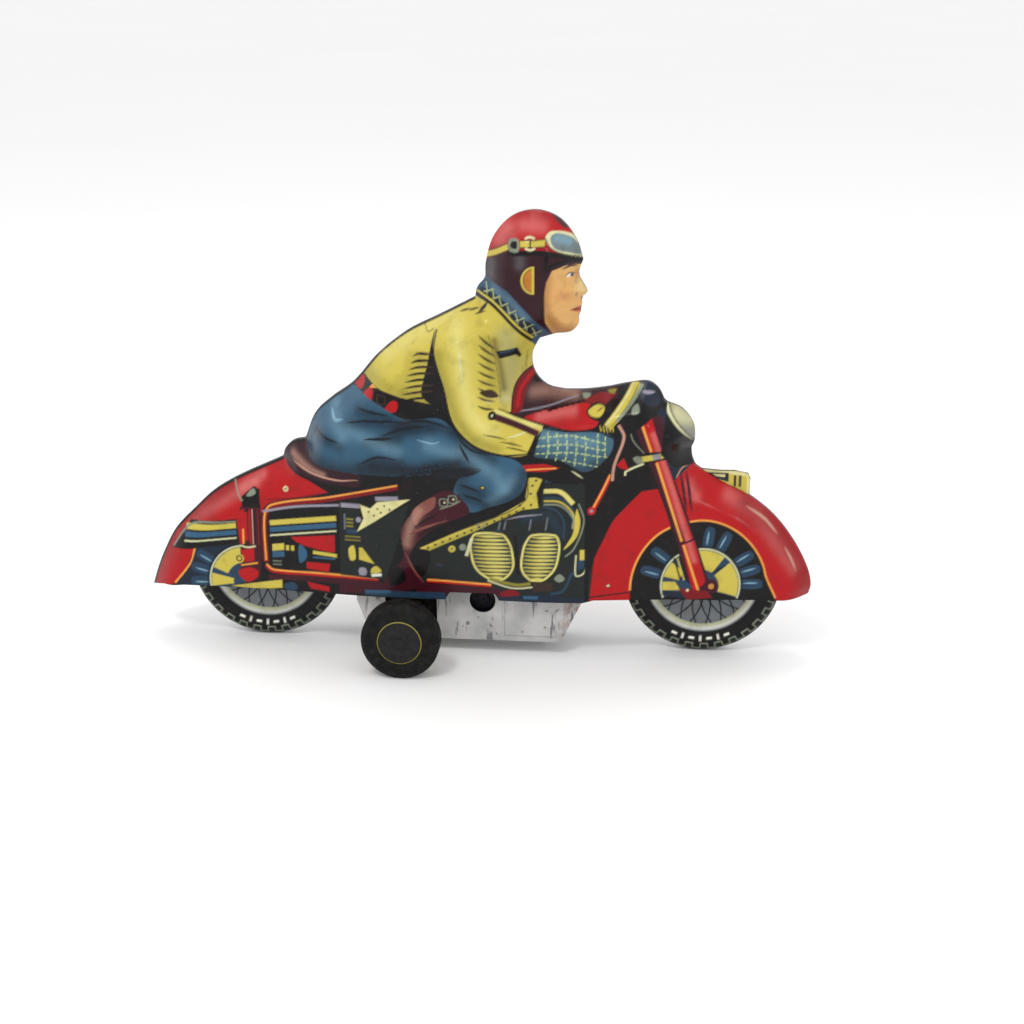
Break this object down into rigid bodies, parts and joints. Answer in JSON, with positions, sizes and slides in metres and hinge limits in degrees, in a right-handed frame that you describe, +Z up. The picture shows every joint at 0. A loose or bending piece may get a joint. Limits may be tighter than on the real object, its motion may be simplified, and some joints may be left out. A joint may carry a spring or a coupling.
{
  "type": "wind up tin toy",
  "caption": "Clockwork lithographed tin motorcycle with a crouching rider, pressed in two halves round a wound motor that drives a pair of side wheels.",
  "frame": {"origin": "on the floor, below the middle of the bounding box", "axes": "+X the way the toy drives, +Y its left side (the winding key's side), +Z up"},
  "size_m": [0.19, 0.0632, 0.1248],
  "materials": {
    "shell_print": "glossy lithographed tin, mostly red, with yellow, blue and black print",
    "plate_print": "glossy lithographed tin, yellow with black bars",
    "cover_paint": "scratched off-white paint with a little rust",
    "motor_steel": "plain stamped steel",
    "spring_steel": "blued spring steel",
    "gear_brass": "stamped brass",
    "wheel_print": "lithographed tin wheel: black tyre, grey ground with spokes",
    "tyre_rubber": "matt black rubber with a thin gold ring",
    "hub_black": "black moulded hub and bush"
  },
  "bodies": {
    "toy_body": {"right_body_shell": "shell_print", "left_body_shell": "shell_print", "front_number_plate": "plate_print", "motor_cover": "cover_paint", "motor_plate_left": "motor_steel", "motor_plate_right": "motor_steel", "motor_pillars": "motor_steel", "mainspring": "spring_steel", "front_wheel_bracket": "motor_steel", "rear_wheel_bracket": "motor_steel", "front_axle": "motor_steel", "rear_axle": "motor_steel"},
    "winder": {"winding_arbor": "motor_steel", "spring_collet": "motor_steel", "click_spring": "gear_brass", "winding_key_wings": "motor_steel", "winding_key_collar": "motor_steel"},
    "great_gear": {"great_wheel": "gear_brass"},
    "second_gear": {"second_arbor": "motor_steel", "second_pinion": "gear_brass", "second_wheel": "gear_brass"},
    "drive_wheels": {"drive_axle": "motor_steel", "drive_pinion": "gear_brass", "right_drive_tyre": "tyre_rubber", "left_drive_tyre": "tyre_rubber", "right_drive_wheel_disc": "hub_black", "left_drive_wheel_disc": "hub_black", "right_drive_axle_bush": "hub_black", "left_drive_axle_bush": "hub_black"},
    "front_wheel": {"front_wheel_right_disc": "wheel_print", "front_wheel_left_disc": "wheel_print", "front_wheel_hub": "motor_steel"},
    "rear_wheel": {"rear_wheel_right_disc": "wheel_print", "rear_wheel_left_disc": "wheel_print", "rear_wheel_hub": "motor_steel"}
  },
  "joints": [
    {"name": "wind_key", "type": "hinge", "parent": "toy_body", "child": "winder", "pos_m": [0.003, 0, 0.016], "axis": [0, 1, 0], "range_deg": [0, 1800], "deforming": ["mainspring"]},
    {"name": "great_wheel_spin", "type": "hinge", "parent": "toy_body", "child": "great_gear", "pos_m": [0.003, 0, 0.016], "axis": [0, 1, 0], "continuous": true},
    {"name": "second_wheel_spin", "type": "hinge", "parent": "toy_body", "child": "second_gear", "pos_m": [-0.00922, 0, 0.01862], "axis": [0, 1, 0], "continuous": true},
    {"name": "drive_axle_spin", "type": "hinge", "parent": "toy_body", "child": "drive_wheels", "pos_m": [-0.0174, 0, 0.0109], "axis": [0, 1, 0], "continuous": true},
    {"name": "front_wheel_spin", "type": "hinge", "parent": "toy_body", "child": "front_wheel", "pos_m": [0.0646, 0, 0.0222], "axis": [0, 1, 0], "continuous": true},
    {"name": "rear_wheel_spin", "type": "hinge", "parent": "toy_body", "child": "rear_wheel", "pos_m": [-0.061, 0, 0.0222], "axis": [0, 1, 0], "continuous": true}
  ],
  "couplings": [
    {"joint": "second_wheel_spin", "follows": "drive_axle_spin", "ratio": -0.25},
    {"joint": "great_wheel_spin", "follows": "drive_axle_spin", "ratio": 0.0625}
  ]
}
